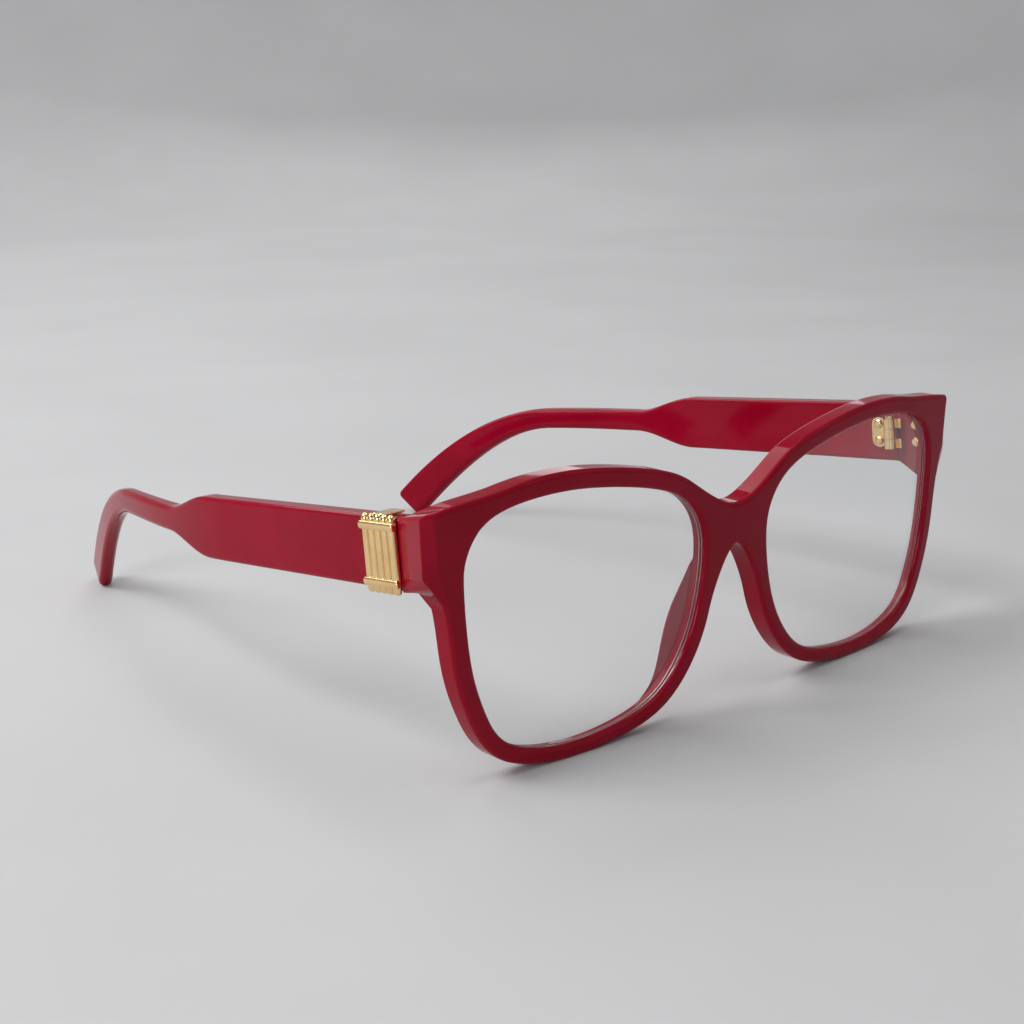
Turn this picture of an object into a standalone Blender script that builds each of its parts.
"""Full-rim acetate eyeglasses with folding temples.

Frame: x across the face, y from the front backwards, z up. The front faces -y, the wearer's
left is +x, and the glasses stand on z = 0 on both rims and both temple tips.
Lengths are written in millimetres and turned into metres when a mesh is made. Pieces of a
temple and its hinge are drawn in the hinge's own frame: x outwards, y along the temple and z
along the hinge axis, which leans back with the temple.
"""

import math

import bmesh
import bpy
import numpy as np
from mathutils import Matrix, Vector

MM = 0.001
SIDES = {"right": -1, "left": 1}
RANKS = {"lower": -1, "upper": 1}

# Lens shape, by the boxing system: width, height and the gap between the two lens openings
LENS_WIDTH = 53.1
LENS_HEIGHT = 43.7
BRIDGE_GAP = 16.8
LENS_THICKNESS = 1.8
LENS_DOME = 1.2

# Opening's outline in half-box units from the box centre, anticlockwise from the temple side
LENS_SHAPE = (
    (1.00, 0.40), (0.98, 0.65), (0.88, 0.84), (0.66, 0.96), (0.30, 1.00), (-0.07, 0.97),
    (-0.48, 0.88), (-0.79, 0.74), (-0.96, 0.51), (-1.00, 0.22), (-0.95, -0.17), (-0.83, -0.52),
    (-0.60, -0.82), (-0.26, -0.96), (0.12, -1.00), (0.47, -0.95), (0.73, -0.80), (0.87, -0.51),
    (0.96, -0.12),
)

# Front: rims and bridge
FRONT_WIDTH = 138.0
FRONT_THICKNESS = 4.0
FRONT_BOW = 3.7
RIM_TOP = 3.4
RIM_TEMPLE = 3.5
RIM_BOTTOM = 2.5
RIM_NASAL = 3.3
STANDING_FLAT = 0.06
BRIDGE_THICKNESS = 4.4
BRIDGE_BLEND = 24.0
BRIDGE_DROP = 8.8
BRIDGE_HEIGHT = 7.6
SADDLE_RUN = 11.0
ARCH_RUN = 4.6
EDGE_ROUND_WIDTH = 1.0
EDGE_ROUND_DEPTH = 0.7
BACK_ROUND = 0.45

# Front: faceted corners that carry the hinges
CORNER_LIFT = 0.2
CORNER_HEIGHT = 13.8
CORNER_DEPTH = 9.7
CORNER_LEAN = 0.2
CORNER_ROUND = 0.6
SIDE_TAPER = 2.0
CORNER_CUT = 3.8
CORNER_RUN = 10.0
CORNER_RISE = 3.4
CORNER_MITRE = 25.0
FACET_WIDTH = 1.6
FACET_WIDTH_LOW = 2.6
FACET_DEPTH = 1.4
FACET_DEPTH_LOW = 0.9
FACET_TIP_INSET = 3.3
FACET_TIP_DROP = 0.8
FACET_TIP_RUN = 3.0

# Lens groove inside the rims, measured from the front face
GROOVE_PLACE = 1.9
GROOVE_WIDTH = 1.3
GROOVE_DEPTH = 0.7
LENS_CLEARANCE = 0.05

# Nose pads, glued to the back of the nasal rims
PAD_TOP_ANGLE = 172.0
PAD_BOTTOM_ANGLE = 238.0
PAD_DEPTH = 2.6
PAD_FLARE = 1.5
PAD_EDGE = 1.5
GLUE_GAP = 0.05

# Temples: a straight bar, a narrow neck and a hooked tip, cut from sheet and bent inwards
TEMPLE_TILT = 6.7
TEMPLE_THICKNESS = 4.0
TEMPLE_HEIGHT = 12.0
SHOULDER_HEIGHT = 11.4
SHOULDER_PLACE = 55.3
NECK_PLACE = 71.0
NECK_HEIGHT = 4.8
HOOK_PLACE = 95.6
HOOK_RISE = 0.7
HOOK_ANGLE = 43.5
TEMPLE_LENGTH = 136.4
TIP_HEIGHT = 6.6
TIP_THICKNESS = 3.2
BEND_PLACE = 48.6
BEND_IN = 20.8
BEND_EASE = 0.5
TEMPLE_ROUND = 0.8
END_ROUND = 0.2
TIP_CUT = 0.25
MITRE_PLACE = 0.5
MITRE_GAP = 0.15

# Core wire inside each temple
WIRE_HEIGHT = 2.0
WIRE_THICKNESS = 1.0
WIRE_START = 1.0
WIRE_END = 112.0
WIRE_CLEARANCE = 0.06

# Three-knuckle barrel hinges
BARREL_RADIUS = 1.35
BARREL_STANDOFF = 1.6
KNUCKLE_HEIGHT = 2.0
KNUCKLE_GAP = 0.05
LEAF_THICKNESS = 0.9
LEAF_GAP = 0.4
LEAF_LAP = 0.5
LEAF_ROUND = 1.5
LEAF_FRONT_LENGTH = 5.2
LEAF_FRONT_START = 0.9
LEAF_FRONT_SINK = 0.6
LEAF_TEMPLE_LENGTH = 3.4
LEAF_TEMPLE_HEIGHT = 6.1
LEAF_RECESS = 0.3
LEAF_CLEARANCE = 0.08
ARM_INSET = 0.05
ARM_REACH = 2.2
SCREW_RADIUS = 0.55
SCREW_CLEARANCE = 0.06
SCREW_HEAD_RADIUS = 1.0
SCREW_HEAD_HEIGHT = 0.55
SLOT_WIDTH = 0.35
SLOT_DEPTH = 0.3

# Rivets through the temples and short screws into the corners
PIN_RADIUS = 0.6
PIN_HEAD_RADIUS = 1.0
PIN_HEAD_HEIGHT = 0.5
PIN_CLEARANCE = 0.06
RIVET_SPREAD = 3.5
RIVET_SINK = 0.1
FIXING_SPREAD = 3.4
FIXING_PLACE = -4.9
FIXING_LENGTH = 2.4
FIXING_POINT = 0.4

# Metal ornament on each temple: a reeded plaque with two collars and a strap over the top edge
ORNAMENT_WIDTH = 8.2
ORNAMENT_PLACE = -1.0
ORNAMENT_OVERHANG = 0.5
ORNAMENT_PLATE = 0.35
ORNAMENT_GAP = 0.08
ORNAMENT_LIFT = 0.15
REED_COUNT = 5
REED_RELIEF = 0.8
COLLAR_HEIGHT = 1.3
COLLAR_RELIEF = 0.25
COLLAR_SPREAD = 9.2
STRAP_WIDTH = 3.4
STRAP_THICKNESS = 0.45
STRAP_STOP = 0.3

# Mesh density
LENS_SAMPLES = 720
RIM_STEP = 6.0
ROUND_SEGMENTS = 3
REED_SEGMENTS = 6
BARREL_SEGMENTS = 18
PIN_SEGMENTS = 12
TEMPLE_STATIONS = 40

# Colours
ACETATE = (0.36, 0.004, 0.025)
GOLD = (0.83, 0.58, 0.24)
STEEL = (0.62, 0.62, 0.64)
LENS_TINT = (0.86, 0.90, 0.90)

# Angles round the lens where the plain rim hands over to the corner, the bridge and back
CORNER_START = 0.0
CORNER_END = 54.0
BRIDGE_START = 140.0
ARCH_END = 190.0

# Places that follow from the sizes above
TILT = math.radians(TEMPLE_TILT)
LENS_CENTRE = np.array([(BRIDGE_GAP + LENS_WIDTH) / 2, RIM_BOTTOM + LENS_HEIGHT / 2])
LENS_TOP = RIM_BOTTOM + LENS_HEIGHT
BRIDGE_TOP = LENS_TOP - BRIDGE_DROP
BRIDGE_ARCH = BRIDGE_TOP - BRIDGE_HEIGHT
CORNER_X = FRONT_WIDTH / 2
CORNER_TOP = LENS_TOP + CORNER_LIFT
CORNER_BOTTOM = CORNER_TOP - CORNER_HEIGHT
HINGE = np.array([
    CORNER_X - SIDE_TAPER - TEMPLE_THICKNESS - BARREL_STANDOFF,
    FRONT_BOW + CORNER_DEPTH,
    CORNER_TOP - CORNER_HEIGHT / 2 - CORNER_DEPTH * math.tan(TILT),
])
SEAT_X = BARREL_STANDOFF
OUTER_X = BARREL_STANDOFF + TEMPLE_THICKNESS
SEAT_WORLD = HINGE[0] + SEAT_X
BARREL_HEIGHT = 3 * KNUCKLE_HEIGHT + 2 * KNUCKLE_GAP
KNUCKLE_STEP = KNUCKLE_HEIGHT + KNUCKLE_GAP
LEAF_START = BARREL_RADIUS + LEAF_GAP
RECESS_X = SEAT_X + LEAF_RECESS
PLATE_X = SEAT_X + LEAF_FRONT_SINK
CORNER_END_PLACE = -MITRE_PLACE - MITRE_GAP
RIVET_PLACE = LEAF_START + LEAF_TEMPLE_LENGTH / 2


def clear_scene():
    for old in list(bpy.data.objects):
        bpy.data.objects.remove(old, do_unlink=True)


def material(name, colour, metallic, roughness, transmission=0.0):
    finish = bpy.data.materials.new(name)
    finish.use_nodes = True
    shader = finish.node_tree.nodes["Principled BSDF"]
    shader.inputs["Base Color"].default_value = (*colour, 1.0)
    shader.inputs["Metallic"].default_value = metallic
    shader.inputs["Roughness"].default_value = roughness
    shader.inputs["Transmission Weight"].default_value = transmission
    finish.diffuse_color = (*colour, 1.0)
    return finish


def mesh_object(name, bm, finish=None, sharp_angle=30.0):
    """Turn a mesh drawn in millimetres into an object in metres, faces pointing out."""
    bmesh.ops.recalc_face_normals(bm, faces=bm.faces)
    bmesh.ops.scale(bm, vec=Vector((MM, MM, MM)), verts=bm.verts)
    mesh = bpy.data.meshes.new(name)
    bm.to_mesh(mesh)
    bm.free()
    mesh.shade_smooth()
    mesh.set_sharp_from_angle(angle=math.radians(sharp_angle))
    if finish is not None:
        mesh.materials.append(finish)
    thing = bpy.data.objects.new(name, mesh)
    bpy.context.collection.objects.link(thing)
    return thing


def combine(target, operation, shape, place=None):
    """Join a shape to the target, or cut it out, by an applied Boolean."""
    operand = mesh_object("operand", shape)
    if place is not None:
        operand.matrix_world = place
    bpy.context.view_layer.update()
    step = target.modifiers.new(operation.lower(), "BOOLEAN")
    step.operation = operation
    step.solver = "EXACT"
    step.object = operand
    bpy.context.view_layer.objects.active = target
    bpy.ops.object.modifier_apply(modifier=step.name)
    bpy.data.objects.remove(operand, do_unlink=True)


def skin(bm, rings, closed_rings=True, closed_run=False, skip=None):
    """Faces between neighbouring rings of vertices, leaving out repeated corners."""
    for k in range(len(rings) if closed_run else len(rings) - 1):
        first = rings[k]
        second = rings[(k + 1) % len(rings)]
        count = len(first)
        for i in range(count if closed_rings else count - 1):
            j = (i + 1) % count
            corners = list(dict.fromkeys((first[i], first[j], second[j], second[i])))
            if len(corners) > 2 and not (skip and skip(corners)):
                bm.faces.new(corners)


def tube(sections, side=1):
    """Closed solid through a row of sections of equal count, mirrored in x for side -1."""
    bm = bmesh.new()
    rings = [[bm.verts.new((side * x, y, z)) for x, y, z in section] for section in sections]
    skin(bm, rings)
    bm.faces.new(rings[0])
    bm.faces.new(rings[-1])
    return bm


def prism(profile, axis, low, high, side=1):
    """Closed prism: an outline in two axes drawn out along the third from low to high."""
    sections = []
    for level in (low, high):
        sections.append([(*point[:axis], level, *point[axis:]) for point in profile])
    return tube(sections, side)


def turned(profile, centre, side=1):
    """Solid of revolution about a line along x through centre; profile rows are (x, radius)."""
    sections = []
    for x, radius in profile:
        sections.append([(x, y, z) for y, z in circle(centre, radius, PIN_SEGMENTS)])
    return tube(sections, side)


def circle(centre, radius, segments):
    turn = 2 * math.pi / segments
    return [(centre[0] + radius * math.cos(turn * i), centre[1] + radius * math.sin(turn * i))
            for i in range(segments)]


def box_outline(low, high):
    return [(low[0], low[1]), (high[0], low[1]), (high[0], high[1]), (low[0], high[1])]


def rounded_outline(low, high, radius):
    """Rectangle with rounded corners."""
    points = []
    corners = ((high[0] - radius, high[1] - radius), (low[0] + radius, high[1] - radius),
               (low[0] + radius, low[1] + radius), (high[0] - radius, low[1] + radius))
    for quarter, (x, y) in enumerate(corners):
        for i in range(ROUND_SEGMENTS + 1):
            angle = math.pi / 2 * (quarter + i / ROUND_SEGMENTS)
            points.append((x + radius * math.cos(angle), y + radius * math.sin(angle)))
    return points


def smooth_step(t):
    t = min(max(t, 0.0), 1.0)
    return t * t * (3 - 2 * t)


def cubic(t, start, start_slope, end, end_slope):
    return ((2 * t**3 - 3 * t**2 + 1) * start + (t**3 - 2 * t**2 + t) * start_slope
            + (3 * t**2 - 2 * t**3) * end + (t**3 - t**2) * end_slope)


def hermite(start, start_slope, end, end_slope, count):
    """Points of a cubic from start to end, without the start point."""
    return [cubic(i / count, start, start_slope, end, end_slope) for i in range(1, count + 1)]


def closed_spline(knots, samples):
    """Smooth closed curve through knots: a periodic cubic spline."""
    count = len(knots)
    unit = np.eye(count)
    system = 4 * unit + np.roll(unit, 1, axis=0) + np.roll(unit, -1, axis=0)
    slopes = np.linalg.solve(system, 3 * (np.roll(knots, -1, axis=0) - np.roll(knots, 1, axis=0)))
    curve = []
    for place in np.arange(samples) * count / samples:
        i = int(place)
        j = (i + 1) % count
        curve.append(cubic(place - i, knots[i], slopes[i], knots[j], slopes[j]))
    return np.array(curve)


def direction(angle):
    return np.array([math.cos(math.radians(angle)), math.sin(math.radians(angle))])


class PolarCurve:
    """A closed curve round the lens centre, read by its angle in degrees."""

    def __init__(self, points):
        offset = points - LENS_CENTRE
        angles = np.degrees(np.arctan2(offset[:, 1], offset[:, 0])) % 360
        order = np.argsort(angles)
        self.angles = angles[order]
        self.radii = np.hypot(offset[:, 0], offset[:, 1])[order]

    def radius(self, angle):
        return float(np.interp(angle % 360, self.angles, self.radii, period=360))

    def point(self, angle):
        return LENS_CENTRE + self.radius(angle) * direction(angle)

    def slope(self, angle):
        """Run of the curve per degree."""
        return (self.point(angle + 1) - self.point(angle - 1)) / 2


def rim_width(angle):
    """Width of the rim's front, blended between its four named widths."""
    across, upward = direction(angle)
    side = RIM_TEMPLE if across > 0 else RIM_NASAL
    edge = RIM_TOP if upward > 0 else RIM_BOTTOM + STANDING_FLAT
    return side * across**2 + edge * upward**2


def opening_curves():
    """The lens opening and the rim's outer edge as curves round the lens centre."""
    half_box = np.array([LENS_WIDTH / 2, LENS_HEIGHT / 2])
    opening = closed_spline(np.array(LENS_SHAPE) * half_box + LENS_CENTRE, LENS_SAMPLES)
    along = np.roll(opening, -1, axis=0) - np.roll(opening, 1, axis=0)
    along /= np.linalg.norm(along, axis=1)[:, None]
    outward = np.stack([along[:, 1], -along[:, 0]], axis=1)
    offset = opening - LENS_CENTRE
    angles = np.degrees(np.arctan2(offset[:, 1], offset[:, 0]))
    widths = np.array([rim_width(angle) for angle in angles])
    return PolarCurve(opening), PolarCurve(opening + outward * widths[:, None])


OPENING, RIM_EDGE = opening_curves()


class Station:
    """One cross-section of the front: where it meets the opening and the outer edge."""

    def __init__(self, angle, outer, kind, facet=0.0, behind=None, normal=None):
        self.angle = angle
        self.outer = outer
        self.kind = kind
        self.facet = facet
        self.behind = behind
        self.climb = 0.0
        self.normal = normal


def rim_point(angle):
    """Rim's outer edge, cut flat where the glasses stand."""
    point = RIM_EDGE.point(angle)
    point[1] = max(point[1], 0.0)
    return point


def plain_stations(first, last):
    count = round((last - first) / RIM_STEP)
    angles = [first + (last - first) * i / count for i in range(count + 1)]
    return [Station(angle, rim_point(angle), "rim") for angle in angles]


def spread(chain, first, last, start, end):
    """Stations for a chain of (kind, outer point, ...), angles shared out by their distances."""
    places = np.array([start] + [link[1] for link in chain] + [end])
    runs = np.cumsum(np.linalg.norm(np.diff(places, axis=0), axis=1))
    return [Station(first + (last - first) * run / runs[-1], point, kind, *rest)
            for (kind, point, *rest), run in zip(chain, runs)]


def corner_stations():
    """The faceted corner: the fillet and slanted cut under it, its side, its top back to the rim.

    Each corner link ends with the place at the mitred end that lies behind it, as shares of the
    end's thickness and height.
    """
    start = rim_point(CORNER_START)
    end = rim_point(CORNER_END)
    tip = np.array([CORNER_X - FACET_TIP_INSET, CORNER_BOTTOM - FACET_TIP_DROP])
    low = np.array([CORNER_X - CORNER_LEAN, CORNER_BOTTOM + CORNER_CUT])
    top = np.array([CORNER_X, CORNER_TOP])
    slant = (low - tip) / np.linalg.norm(low - tip)
    low_share = CORNER_CUT / CORNER_HEIGHT
    under = hermite(start, 6 * RIM_EDGE.slope(CORNER_START), tip, FACET_TIP_RUN * slant, 4)
    turn = top + CORNER_ROUND * np.array([-0.8, 0.25])
    over = hermite(turn, np.array([-CORNER_RUN, CORNER_RISE]), end, 26 * RIM_EDGE.slope(CORNER_END), 8)
    chain = [("rim", point, 0.0) for point in under[:-1]]
    chain += [("corner", tip, 0.0, (0.4, 0.0)),
              ("corner", tip + (low - tip) / 3, 0.4, (0.75, 0.0)),
              ("corner", tip + (low - tip) * 2 / 3, 0.7, (1.0, 0.0)),
              ("corner", low, 1.0, (1.0, low_share))]
    for i in range(1, 5):
        chain.append(("corner", low + (top - low) * i / 5, 1.0, (1.0, low_share + (1 - low_share) * i / 5)))
    edge = top - np.array([0.0, CORNER_ROUND])
    chain.append(("corner", edge, 1.0, (1.0, 1 - CORNER_ROUND / CORNER_HEIGHT)))
    for point, *shape in [(turn, 0.6, direction(CORNER_MITRE))] + [(point, 0.0, None) for point in over[:-1]]:
        facet, normal = shape
        run = (point[0] - SEAT_WORLD) / (CORNER_X - SEAT_WORLD)
        kind = "corner" if point[0] > SEAT_WORLD + CORNER_ROUND else "rim"
        chain.append((kind, point, facet, (run, 1.0), normal))
    stations = spread(chain, CORNER_START, CORNER_END, start, end)
    behind = [station for station in stations if station.kind == "corner"]
    for station in behind:
        station.climb = (station.angle - behind[0].angle) / (behind[-1].angle - behind[0].angle)
    return stations


def bridge_stations():
    """Top edge down to the mirror plane, the plane itself, and the arch back to the rim."""
    top = np.array([0.0, BRIDGE_TOP])
    arch = np.array([0.0, BRIDGE_ARCH])
    start = rim_point(BRIDGE_START)
    end = rim_point(ARCH_END)
    over = hermite(start, 28 * RIM_EDGE.slope(BRIDGE_START), top, np.array([-SADDLE_RUN, 0.0]), 7)
    under = hermite(arch, np.array([ARCH_RUN, 0.0]), end, 16 * RIM_EDGE.slope(ARCH_END), 8)
    chain = [("rim", point, 0.0) for point in over]
    chain += [("bridge", top + (arch - top) * i / 4, 0.0) for i in (1, 2, 3)]
    chain += [("rim", point, 0.0) for point in [arch] + under[:-1]]
    return spread(chain, BRIDGE_START, ARCH_END, start, end)


def front_stations():
    stations = plain_stations(CORNER_END, BRIDGE_START) + bridge_stations()
    stations += plain_stations(ARCH_END, 360 + CORNER_START) + corner_stations()
    for i, station in enumerate(stations):
        along = stations[(i + 1) % len(stations)].outer - stations[i - 1].outer
        along = along / np.linalg.norm(along)
        if station.normal is None:
            station.normal = np.array([along[1], -along[0]])
        if station.outer[0] == 0.0:
            station.normal = np.array([0.0, 1.0 if station.outer[1] == BRIDGE_TOP else -1.0])
    return stations


def bow(x):
    """How far the front face lies behind the middle of the bridge."""
    return FRONT_BOW * (x / CORNER_X) ** 2


def thickness(x):
    """Front to back thickness, greater at the bridge."""
    return FRONT_THICKNESS + (BRIDGE_THICKNESS - FRONT_THICKNESS) * smooth_step(1 - x / BRIDGE_BLEND)


def front_place(point, depth):
    return (point[0], bow(point[0]) + depth, point[1])


def back_place(point, inset=0.0):
    return front_place(point, thickness(point[0]) - inset)


def hinge_place(x, y, z):
    """A place in the left hinge's frame as a place in the part's frame."""
    return (HINGE[0] + x, HINGE[1] + y * math.cos(TILT) + z * math.sin(TILT),
            HINGE[2] - y * math.sin(TILT) + z * math.cos(TILT))


def pad_share(angle):
    """How much of the full pad depth stands behind the rim at this angle."""
    t = (angle - PAD_TOP_ANGLE) / (PAD_BOTTOM_ANGLE - PAD_TOP_ANGLE)
    if t <= 0 or t >= 1:
        return 0.0
    return math.sin(math.pi * t**0.75) ** 1.2


def back_round(angle):
    """Rounding of the back edges, which fades out where a pad is glued on."""
    return BACK_ROUND - (BACK_ROUND - GLUE_GAP) * min(1.0, 6 * pad_share(angle))


def quarter_round():
    """Quarter ellipse as (share of width, share of depth), from the front face to the wall."""
    steps = [math.pi / 2 * i / ROUND_SEGMENTS for i in range(ROUND_SEGMENTS + 1)]
    return [(1 - math.sin(a), 1 - math.cos(a)) for a in steps]


def inner_section(station):
    """Opening side of a section: rounded front edge, lens groove, back edge."""
    out = direction(station.angle)
    edge = OPENING.point(station.angle)
    half = GROOVE_WIDTH / 2
    back = back_round(station.angle)
    points = [(EDGE_ROUND_WIDTH * w, EDGE_ROUND_DEPTH * d) for w, d in quarter_round()]
    points += [(0, GROOVE_PLACE - half), (GROOVE_DEPTH, GROOVE_PLACE), (0, GROOVE_PLACE + half)]
    places = [front_place(edge + out * width, depth) for width, depth in points]
    return places + [back_place(edge, back), back_place(edge + out * back)]


def outer_section(station):
    """Outer side of a section's front: rounded along the rim, a flat facet at the corner."""
    level = station.behind[1] if station.behind else 0.0
    facet_width = FACET_WIDTH_LOW + (FACET_WIDTH - FACET_WIDTH_LOW) * level
    facet_depth = FACET_DEPTH_LOW + (FACET_DEPTH - FACET_DEPTH_LOW) * level
    width = EDGE_ROUND_WIDTH + (facet_width - EDGE_ROUND_WIDTH) * station.facet
    depth = EDGE_ROUND_DEPTH + (facet_depth - EDGE_ROUND_DEPTH) * station.facet
    places = []
    for i, (w, d) in enumerate(reversed(quarter_round())):
        t = i / ROUND_SEGMENTS
        w += (t - w) * station.facet
        d += (1 - t - d) * station.facet
        places.append(front_place(station.outer - station.normal * width * w, depth * d))
    return places


def corner_back(station, top):
    """Back of a corner section: step to the hinge seat, the mitred end and the side."""
    end = CORNER_END_PLACE
    half = TEMPLE_HEIGHT / 2
    run, level = station.behind
    x = SEAT_X + TEMPLE_THICKNESS * run
    z = (2 * level - 1) * half
    inset = station.normal * BACK_ROUND
    seat_z = CORNER_BOTTOM + (top - CORNER_BOTTOM) * station.climb
    return [
        back_place((SEAT_WORLD, seat_z)),
        hinge_place(SEAT_X, end, (2 * station.climb - 1) * (half - END_ROUND)),
        hinge_place(x - inset[0], end, z - inset[1]),
        hinge_place(x, end - BACK_ROUND, z),
    ]


def plain_back(station, inner_edge):
    """Back of a rim section, in three steps to the outer edge."""
    back = back_round(station.angle)
    inner = np.array([inner_edge[0], inner_edge[2]])
    outer = station.outer - station.normal * back
    steps = [back_place(inner + (outer - inner) * share) for share in (1 / 3, 2 / 3, 1)]
    return steps + [back_place(station.outer, back)]


def bridge_back(station, inner_edge):
    """Back and front of a section that ends on the mirror plane."""
    inner = np.array([inner_edge[0], inner_edge[2]])
    steps = [back_place(inner + (station.outer - inner) * share) for share in (1 / 3, 2 / 3, 1, 1)]
    return steps + [front_place(station.outer, 0.0)] * (ROUND_SEGMENTS + 1)


def front_section(station, corner_top):
    inner = inner_section(station)
    if station.kind == "bridge":
        return inner + bridge_back(station, inner[-1])
    if station.kind == "corner":
        return inner + corner_back(station, corner_top) + outer_section(station)
    return inner + plain_back(station, inner[-1]) + outer_section(station)


def shared_ring(bm, places):
    """Vertices for one section; places that coincide share a vertex."""
    made = {}
    for place in places:
        if place not in made:
            made[place] = bm.verts.new(place)
    return [made[place] for place in places]


def make_front(finish):
    """The front: one half skinned from its sections, mirrored and welded at the bridge."""
    bm = bmesh.new()
    stations = front_stations()
    corner_top = [s.outer[1] for s in stations if s.kind == "corner"][-1] - BACK_ROUND
    rings = [shared_ring(bm, front_section(station, corner_top)) for station in stations]
    skin(bm, rings, closed_run=True, skip=lambda corners: all(v.co.x == 0.0 for v in corners))
    other = bmesh.ops.duplicate(bm, geom=bm.verts[:] + bm.edges[:] + bm.faces[:])["geom"]
    copies = [item for item in other if isinstance(item, bmesh.types.BMVert)]
    bmesh.ops.scale(bm, vec=Vector((-1, 1, 1)), verts=copies)
    seam = [vert for vert in bm.verts if vert.co.x == 0.0]
    bmesh.ops.remove_doubles(bm, verts=seam, dist=1e-5)
    return mesh_object("front_frame", bm, finish)


def make_lens(side, name, finish):
    """Lens with a bevelled edge that stands in the rim's groove."""
    bm = bmesh.new()
    half = LENS_THICKNESS / 2
    bevel = GROOVE_WIDTH / 2 - LENS_CLEARANCE
    centre_share = 0.6

    def vertex(point, depth, share):
        x, y, z = front_place(point, GROOVE_PLACE + depth - LENS_DOME * (1 - share**2))
        return bm.verts.new((side * x, y, z))

    rings = []
    for station in front_stations()[::2]:
        out = direction(station.angle)
        reach = OPENING.radius(station.angle) - LENS_CLEARANCE
        profile = [(reach * centre_share, -half, centre_share), (reach, -half, 1), (reach, -bevel, 1),
                   (reach + GROOVE_DEPTH, 0.0, 1), (reach, bevel, 1), (reach, half, 1),
                   (reach * centre_share, half, centre_share)]
        rings.append([vertex(LENS_CENTRE + out * radius, depth, share) for radius, depth, share in profile])
    skin(bm, rings, closed_rings=False, closed_run=True)
    for index, depth in ((0, -half), (-1, half)):
        centre = vertex(LENS_CENTRE, depth, 0)
        for k, ring in enumerate(rings):
            bm.faces.new((centre, ring[index], rings[(k + 1) % len(rings)][index]))
    return mesh_object(name, bm, finish)


def pad_section(station):
    """One section of a nose pad, from its glued face round its back edge."""
    share = pad_share(station.angle)
    inner_edge = inner_section(station)[-1]
    glued = [inner_edge] + plain_back(station, inner_edge)[:3]
    glued = [(x, y + GLUE_GAP, z) for x, y, z in glued]
    inner = np.array(glued[0])
    outer = np.array(glued[-1])
    across = (inner - outer) * np.array([1, 0, 1])
    width = np.linalg.norm(across)
    across = across / width
    edge = PAD_EDGE * share + width * (1 - share)
    depth = PAD_DEPTH * share
    lean = across * PAD_FLARE * share
    backwards = np.array([0.0, 1.0, 0.0])
    back = [outer + across * (width - edge) + lean + backwards * depth * 0.8,
            outer + across * (width - 0.6 * edge) + lean + backwards * depth,
            inner - across * 0.2 * edge + lean + backwards * depth,
            inner + lean + backwards * depth * 0.8]
    return glued + [tuple(place) for place in back]


def make_pad(side, name, finish):
    """Nose pad: continues the nasal rim backwards and leans away from the nose."""
    stations = [s for s in front_stations() if s.kind == "rim" and pad_share(s.angle) > 0.05]
    return mesh_object(name, tube([pad_section(s) for s in stations], side), finish)


def bend_share(y):
    """How far along the bent part of the temple a place is, from 0 at its start to 1 at the tip."""
    return max(y - BEND_PLACE, 0.0) / (TEMPLE_LENGTH - BEND_PLACE)


def temple_outer_x(y):
    """Outer face of a temple in its hinge's frame: straight, then bent inwards."""
    bend = bend_share(y)
    return OUTER_X - BEND_IN * bend**2 * (1 + BEND_EASE * (1 - bend))


def temple_inner_x(y):
    """Inner face: the temple's thickness, measured square to the bend, thins towards the tip."""
    bend = bend_share(y)
    rate = 2 * bend * (1 + BEND_EASE) - 3 * BEND_EASE * bend**2
    slope = BEND_IN * rate / (TEMPLE_LENGTH - BEND_PLACE)
    sheet = TEMPLE_THICKNESS + (TIP_THICKNESS - TEMPLE_THICKNESS) * bend
    return temple_outer_x(y) - sheet * math.hypot(1.0, slope)


def hook_end():
    """End of the hook's centre line, set so that its rounded lower corner stands on z = 0."""
    down = math.radians(HOOK_ANGLE)
    half = TIP_HEIGHT / 2 - TIP_CUT
    low_y = TEMPLE_LENGTH - half * math.sin(down) - TIP_CUT * math.cos(down)
    low_z = (low_y * math.sin(TILT) - HINGE[2]) / math.cos(TILT)
    return np.array([TEMPLE_LENGTH, low_z + half * math.cos(down) - TIP_CUT * math.sin(down)])


def between(first, last, count):
    return [first + (last - first) * i / count for i in range(1, count + 1)]


def half_height(y):
    """Half the height of the sheet along the temple: bar, shoulder, neck and flared tip."""
    bar = TEMPLE_HEIGHT + (SHOULDER_HEIGHT - TEMPLE_HEIGHT) * min(y / SHOULDER_PLACE, 1.0)
    waist = smooth_step((y - SHOULDER_PLACE) / (NECK_PLACE - SHOULDER_PLACE))
    flare = smooth_step((y - HOOK_PLACE) / (TEMPLE_LENGTH - HOOK_PLACE))
    return (bar + (NECK_HEIGHT - bar) * waist + (TIP_HEIGHT - NECK_HEIGHT) * flare) / 2


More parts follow.
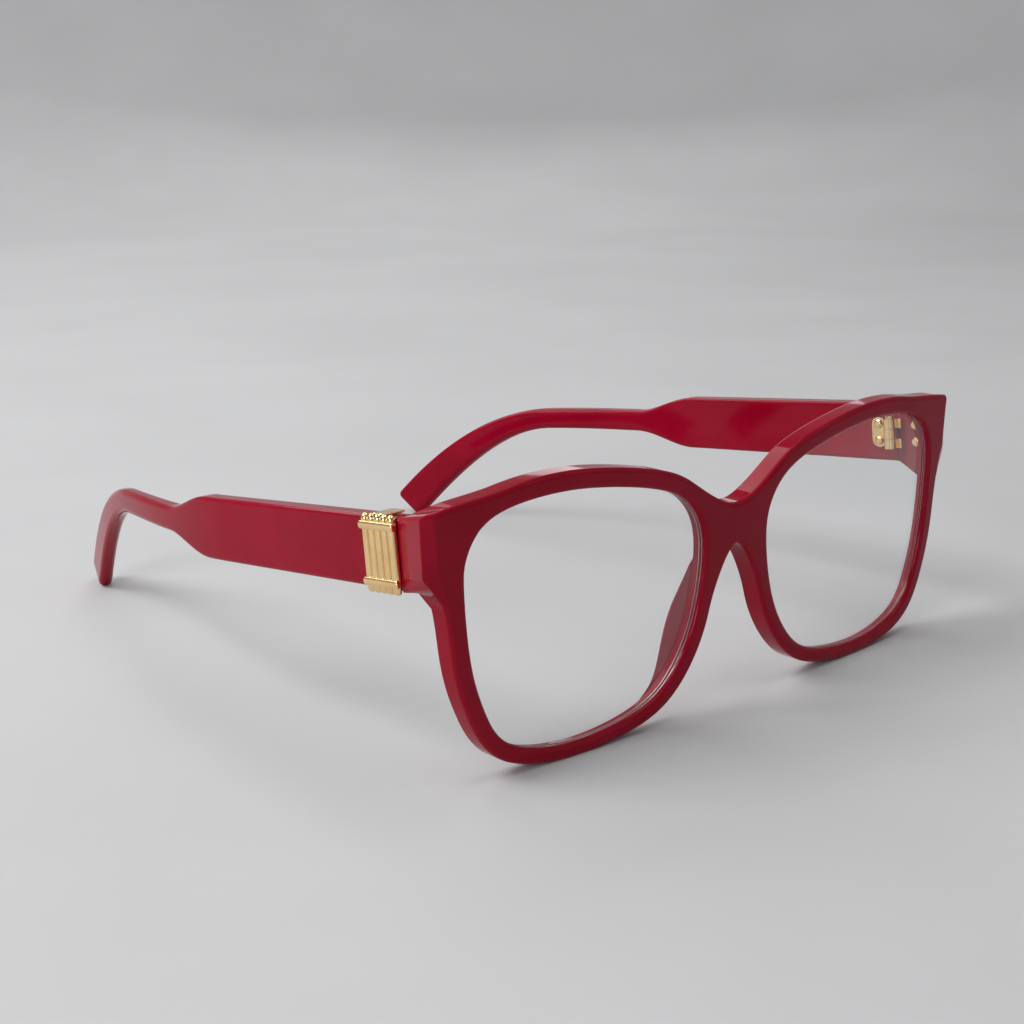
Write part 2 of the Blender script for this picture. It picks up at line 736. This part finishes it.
def temple_spine():
    """Centre line of the temple's side view: rows of (place, direction, half height)."""
    down = math.radians(HOOK_ANGLE)
    tip_way = np.array([math.cos(down), -math.sin(down)])
    hook_start = np.array([HOOK_PLACE, HOOK_RISE])
    reach = np.linalg.norm(hook_end() - hook_start)
    runs = [-MITRE_PLACE] + between(0.0, SHOULDER_PLACE, 4) + between(SHOULDER_PLACE, NECK_PLACE, 8)
    runs += between(NECK_PLACE, HOOK_PLACE, 6)
    places = []
    for y in runs:
        rise = smooth_step((y - SHOULDER_PLACE) / (HOOK_PLACE - SHOULDER_PLACE))
        places.append(np.array([y, HOOK_RISE * rise]))
    places += hermite(hook_start, np.array([reach, 0.0]), hook_end(), reach * tip_way,
                      TEMPLE_STATIONS - len(places))
    spine = []
    for i, place in enumerate(places):
        along = places[min(i + 1, len(places) - 1)] - places[max(i - 1, 0)]
        spine.append((place, along / np.linalg.norm(along), half_height(place[0])))
    spine[0] = (places[0], np.array([1.0, 0.0]), half_height(places[0][0]))
    spine[-1] = (places[-1], tip_way, half_height(TEMPLE_LENGTH))
    return spine


def temple_section(place, along, half, advance=0.0, shrink=0.0):
    """Rounded rectangle across the temple, moved along it and pulled in on every side."""
    upward = np.array([-along[1], along[0]])
    quarter = [(1 - math.cos(a), 1 - math.sin(a)) for a in (0, math.pi / 4, math.pi / 2)]
    points = []
    for up, out, steps in ((1, 1, quarter[::-1]), (1, 0, quarter), (-1, 0, quarter[::-1]), (-1, 1, quarter)):
        for a, b in steps:
            y, z = place + upward * up * (half - shrink - TEMPLE_ROUND * a) + along * advance
            pull = shrink + TEMPLE_ROUND * b
            points.append((temple_outer_x(y) - pull if out else temple_inner_x(y) + pull, y, z))
    return points


def wire_section(place, along, clearance):
    """Rectangle in the middle of the temple's thickness."""
    upward = np.array([-along[1], along[0]])
    points = []
    for up, out in ((1, 1), (1, -1), (-1, -1), (-1, 1)):
        y, z = place + upward * up * (WIRE_HEIGHT / 2 + clearance)
        middle = (temple_outer_x(y) + temple_inner_x(y)) / 2
        points.append((middle + out * (WIRE_THICKNESS / 2 + clearance), y, z))
    return points


def make_temple(side, name, finish):
    """Temple: the bent sheet, with a blind channel for its wire and seats for its hinge leaf."""
    bm = bmesh.new()
    spine = temple_spine()
    sections = [temple_section(*spine[0], shrink=END_ROUND), temple_section(*spine[0], advance=END_ROUND)]
    sections += [temple_section(*step) for step in spine[1:-1]]
    for back, pull in ((TEMPLE_ROUND, 0.0), (TIP_CUT, TIP_CUT), (0.0, TEMPLE_ROUND)):
        sections.append(temple_section(*spine[-1], -back, pull))
    rings = [[bm.verts.new((side * x, y, z)) for x, y, z in section] for section in sections]
    skin(bm, rings)
    bm.faces.new(rings[-1])
    channel = []
    for place, along, _ in spine:
        if place[0] < WIRE_END:
            section = wire_section(place, along, WIRE_CLEARANCE)
            channel.append([bm.verts.new((side * x, y, z)) for x, y, z in section])
    skin(bm, channel)
    bm.faces.new(channel[-1])
    mouth = []
    for ring in (rings[0], channel[0]):
        mouth += [bm.edges.get((vert, ring[i - 1])) for i, vert in enumerate(ring)]
    bmesh.ops.triangle_fill(bm, use_beauty=True, edges=mouth)
    temple = mesh_object(name, bm, finish)
    combine(temple, "DIFFERENCE", leaf_plate(RECESS_X, RECESS_X, LEAF_CLEARANCE, side))
    for level in RANKS.values():
        spot = (RIVET_PLACE, level * RIVET_SPREAD / 2)
        combine(temple, "DIFFERENCE", turned(rivet_hole(), spot, side))
    return temple


def make_wire(side, name, finish):
    inside = [(place, along) for place, along, _ in temple_spine() if place[0] < WIRE_END]
    first, last = inside[0], inside[-1]
    inside[0] = (first[0] + first[1] * WIRE_START, first[1])
    inside[-1] = (last[0] - last[1] * WIRE_CLEARANCE, last[1])
    return mesh_object(name, tube([wire_section(*step, 0.0) for step in inside], side), finish)


def leaf_plate(outer, depth, clearance, side):
    """Plate of the temple leaf, or with a clearance the recess that it lies in."""
    low = (LEAF_START - clearance, -LEAF_TEMPLE_HEIGHT / 2 - clearance)
    high = (LEAF_START + LEAF_TEMPLE_LENGTH + clearance, LEAF_TEMPLE_HEIGHT / 2 + clearance)
    return prism(rounded_outline(low, high, LEAF_ROUND), 0, outer - depth, outer, side)


def knuckle(level, side):
    """One knuckle: a short cylinder round the hinge axis."""
    low = level * KNUCKLE_STEP - KNUCKLE_HEIGHT / 2
    return prism(circle((0, 0), BARREL_RADIUS, BARREL_SEGMENTS), 2, low, low + KNUCKLE_HEIGHT, side)


def knuckle_arm(level, end, side):
    """Arm from a knuckle to its leaf's plate, along the barrel's outer side."""
    low = level * KNUCKLE_STEP - KNUCKLE_HEIGHT / 2 + ARM_INSET
    outline = box_outline((BARREL_RADIUS - LEAF_THICKNESS, min(0.0, end)),
                          (BARREL_RADIUS - ARM_INSET, max(0.0, end)))
    return prism(outline, 2, low, low + KNUCKLE_HEIGHT - 2 * ARM_INSET, side)


def screw_bore(side):
    hole = circle((0, 0), SCREW_RADIUS + SCREW_CLEARANCE, BARREL_SEGMENTS)
    return prism(hole, 2, -BARREL_HEIGHT, BARREL_HEIGHT, side)


def pin_bore(spot, side):
    radius = PIN_RADIUS + PIN_CLEARANCE
    return turned([(0.0, radius), (OUTER_X, radius)], spot, side)


def front_leaf_parts(clearance, mouth, side):
    """Plate inside the corner and the two lugs that leave it for the knuckles; with a clearance and
    a mouth behind them, the slot and notches that they slide into."""
    low = (PLATE_X - clearance, -LEAF_FRONT_START - LEAF_FRONT_LENGTH - clearance)
    high = (PLATE_X + LEAF_THICKNESS + clearance, -LEAF_FRONT_START + mouth)
    half = BARREL_HEIGHT / 2 + clearance
    parts = [prism(box_outline(low, high), 2, -half, half, side)]
    low = (BARREL_RADIUS - LEAF_THICKNESS - clearance, -ARM_REACH - clearance)
    high = (PLATE_X + LEAF_THICKNESS / 2, -LEAF_FRONT_START + mouth)
    half = KNUCKLE_HEIGHT / 2 - ARM_INSET + clearance
    for level in RANKS.values():
        middle = level * KNUCKLE_STEP
        parts.append(prism(box_outline(low, high), 2, middle - half, middle + half, side))
    return parts


def make_front_leaf(side, name, finish):
    """Leaf in the corner: a plate slid into it from behind, with two lugs to the outer knuckles."""
    plate, *lugs = front_leaf_parts(0.0, 0.0, side)
    leaf = mesh_object(name, plate, finish)
    for lug, level in zip(lugs, RANKS.values()):
        combine(leaf, "UNION", lug)
        combine(leaf, "UNION", knuckle_arm(level, -ARM_REACH + ARM_INSET, side))
        combine(leaf, "UNION", knuckle(level, side))
    combine(leaf, "DIFFERENCE", screw_bore(side))
    for level in RANKS.values():
        combine(leaf, "DIFFERENCE", pin_bore((FIXING_PLACE, level * FIXING_SPREAD / 2), side))
    return leaf


def make_temple_leaf(side, name, finish):
    """Leaf on the temple: the middle knuckle on a plate let into the inner face."""
    plate = leaf_plate(RECESS_X - LEAF_CLEARANCE, LEAF_THICKNESS, 0.0, side)
    leaf = mesh_object(name, plate, finish)
    combine(leaf, "UNION", knuckle_arm(0, LEAF_START + LEAF_LAP, side))
    combine(leaf, "UNION", knuckle(0, side))
    combine(leaf, "DIFFERENCE", screw_bore(side))
    for level in RANKS.values():
        combine(leaf, "DIFFERENCE", pin_bore((RIVET_PLACE, level * RIVET_SPREAD / 2), side))
    return leaf


def make_hinge_screw(side, name, finish):
    """Slotted screw down through the three knuckles."""
    seat = BARREL_HEIGHT / 2 + KNUCKLE_GAP
    top = seat + SCREW_HEAD_HEIGHT
    head = circle((0, 0), SCREW_HEAD_RADIUS, BARREL_SEGMENTS)
    screw = mesh_object(name, prism(head, 2, seat, top, side), finish)
    shank = circle((0, 0), SCREW_RADIUS, BARREL_SEGMENTS)
    combine(screw, "UNION", prism(shank, 2, -BARREL_HEIGHT / 2, (seat + top) / 2, side))
    slot = box_outline((-2 * SCREW_HEAD_RADIUS, -SLOT_WIDTH / 2), (2 * SCREW_HEAD_RADIUS, SLOT_WIDTH / 2))
    combine(screw, "DIFFERENCE", prism(slot, 2, top - SLOT_DEPTH, top + SLOT_DEPTH, side))
    return screw


def rivet_hole():
    """Stepped hole through the temple, wide under the ornament for the rivet's flat head."""
    shank = PIN_RADIUS + PIN_CLEARANCE
    step = OUTER_X - RIVET_SINK - PIN_HEAD_HEIGHT - PIN_CLEARANCE
    head = PIN_HEAD_RADIUS + PIN_CLEARANCE
    return [(0.0, shank), (step, shank), (step, head), (OUTER_X + PIN_HEAD_HEIGHT, head)]


def make_rivet(side, level, name, finish):
    """Rivet through leaf and temple: round head inside, flat head sunk under the ornament."""
    seat = RECESS_X - LEAF_CLEARANCE - LEAF_THICKNESS - PIN_CLEARANCE
    flush = OUTER_X - RIVET_SINK
    step = flush - PIN_HEAD_HEIGHT
    profile = [(seat - PIN_HEAD_HEIGHT, 0.6 * PIN_HEAD_RADIUS),
               (seat - 0.5 * PIN_HEAD_HEIGHT, 0.92 * PIN_HEAD_RADIUS),
               (seat, PIN_HEAD_RADIUS), (seat, PIN_RADIUS), (step, PIN_RADIUS), (step, PIN_HEAD_RADIUS),
               (flush, PIN_HEAD_RADIUS)]
    return mesh_object(name, turned(profile, (RIVET_PLACE, level * RIVET_SPREAD / 2), side), finish)


def fixing_hole():
    radius = PIN_RADIUS + PIN_CLEARANCE
    return [(0.0, radius), (SEAT_X + FIXING_LENGTH + PIN_CLEARANCE, radius)]


def make_fixing(side, level, name, finish):
    """Short screw through the corner's inner face and the leaf inside it, into a blind hole."""
    seat = SEAT_X - PIN_CLEARANCE
    end = SEAT_X + FIXING_LENGTH
    profile = [(seat - PIN_HEAD_HEIGHT, 0.7 * PIN_HEAD_RADIUS),
               (seat - 0.4 * PIN_HEAD_HEIGHT, PIN_HEAD_RADIUS),
               (seat, PIN_HEAD_RADIUS), (seat, PIN_RADIUS), (end - FIXING_POINT, PIN_RADIUS),
               (end, 0.5 * PIN_RADIUS)]
    return mesh_object(name, turned(profile, (FIXING_PLACE, level * FIXING_SPREAD / 2), side), finish)


def make_ornament(side, name, finish):
    """Reeded plaque with two collars, and a strap that laps over the temple's top edge."""
    back = OUTER_X + ORNAMENT_GAP
    face = back + ORNAMENT_PLATE
    half = TEMPLE_HEIGHT / 2 + ORNAMENT_OVERHANG
    end = ORNAMENT_PLACE + ORNAMENT_WIDTH
    pitch = ORNAMENT_WIDTH / REED_COUNT
    lifted = back + ORNAMENT_LIFT
    outline = [(back, end), (back, 0.0), (lifted, -ORNAMENT_LIFT), (lifted, ORNAMENT_PLACE)]
    for i in range(REED_COUNT):
        for k in range(REED_SEGMENTS + (i == REED_COUNT - 1)):
            angle = math.pi * k / REED_SEGMENTS
            y = ORNAMENT_PLACE + pitch * (i + (1 - math.cos(angle)) / 2)
            outline.append((face + REED_RELIEF * math.sin(angle), y))
    ornament = mesh_object(name, prism(outline, 2, -half, half, side), finish)
    for level in RANKS.values():
        middle = level * COLLAR_SPREAD / 2
        collar = rounded_outline((ORNAMENT_PLACE - COLLAR_RELIEF, middle - COLLAR_HEIGHT / 2),
                                 (end + COLLAR_RELIEF, middle + COLLAR_HEIGHT / 2), COLLAR_RELIEF)
        top = face + REED_RELIEF + COLLAR_RELIEF
        combine(ornament, "UNION", prism(collar, 0, back + ORNAMENT_PLATE / 2, top, side))
    low = TEMPLE_HEIGHT / 2 + ORNAMENT_GAP
    middle = ORNAMENT_PLACE + ORNAMENT_WIDTH / 2
    strap = box_outline((middle - STRAP_WIDTH / 2, low), (middle + STRAP_WIDTH / 2, low + STRAP_THICKNESS))
    combine(ornament, "UNION", prism(strap, 0, SEAT_X + STRAP_STOP, face, side))
    return ornament


def hinge_matrix(side):
    place = Vector((side * HINGE[0], HINGE[1], HINGE[2])) * MM
    return Matrix.Translation(place) @ Matrix.Rotation(-TILT, 4, "X")


def make_side(word, side, front, root, finishes):
    """Everything on one side, with the temple and hinge hung on an empty on the hinge axis."""
    acetate, gold, steel, glass = finishes
    axis = bpy.data.objects.new(f"hinge_axis_{word}", None)
    bpy.context.collection.objects.link(axis)
    axis.matrix_world = hinge_matrix(side)
    axis.parent = root
    for slot in front_leaf_parts(LEAF_CLEARANCE, LEAF_FRONT_START, side):
        combine(front, "DIFFERENCE", slot, hinge_matrix(side))
    for level in RANKS.values():
        hole = turned(fixing_hole(), (FIXING_PLACE, level * FIXING_SPREAD / 2), side)
        combine(front, "DIFFERENCE", hole, hinge_matrix(side))
    make_lens(side, f"lens_{word}", glass).parent = root
    make_pad(side, f"nose_pad_{word}", acetate).parent = root
    hung = [
        make_temple(side, f"temple_{word}", acetate),
        make_wire(side, f"core_wire_{word}", steel),
        make_front_leaf(side, f"front_hinge_{word}", gold),
        make_temple_leaf(side, f"temple_hinge_{word}", gold),
        make_hinge_screw(side, f"hinge_screw_{word}", gold),
        make_ornament(side, f"ornament_{word}", gold),
    ]
    for rank, level in RANKS.items():
        hung.append(make_rivet(side, level, f"temple_rivet_{rank}_{word}", gold))
        hung.append(make_fixing(side, level, f"front_hinge_screw_{rank}_{word}", gold))
    for thing in hung:
        thing.parent = axis


def centre_lengthwise(root):
    """Move the whole so that its box is centred on y = 0."""
    bpy.context.view_layer.update()
    ends = []
    for thing in bpy.data.objects:
        if thing.type == "MESH":
            ends += [(thing.matrix_world @ vert.co).y for vert in thing.data.vertices]
    root.location.y = -(min(ends) + max(ends)) / 2


def build():
    clear_scene()
    finishes = (material("acetate", ACETATE, 0.0, 0.12), material("gold", GOLD, 1.0, 0.18),
                material("steel", STEEL, 1.0, 0.35), material("lens", LENS_TINT, 0.0, 0.02, 0.95))
    root = bpy.data.objects.new("eyeglasses", None)
    bpy.context.collection.objects.link(root)
    front = make_front(finishes[0])
    front.parent = root
    for word, side in SIDES.items():
        make_side(word, side, front, root, finishes)
    centre_lengthwise(root)


build()
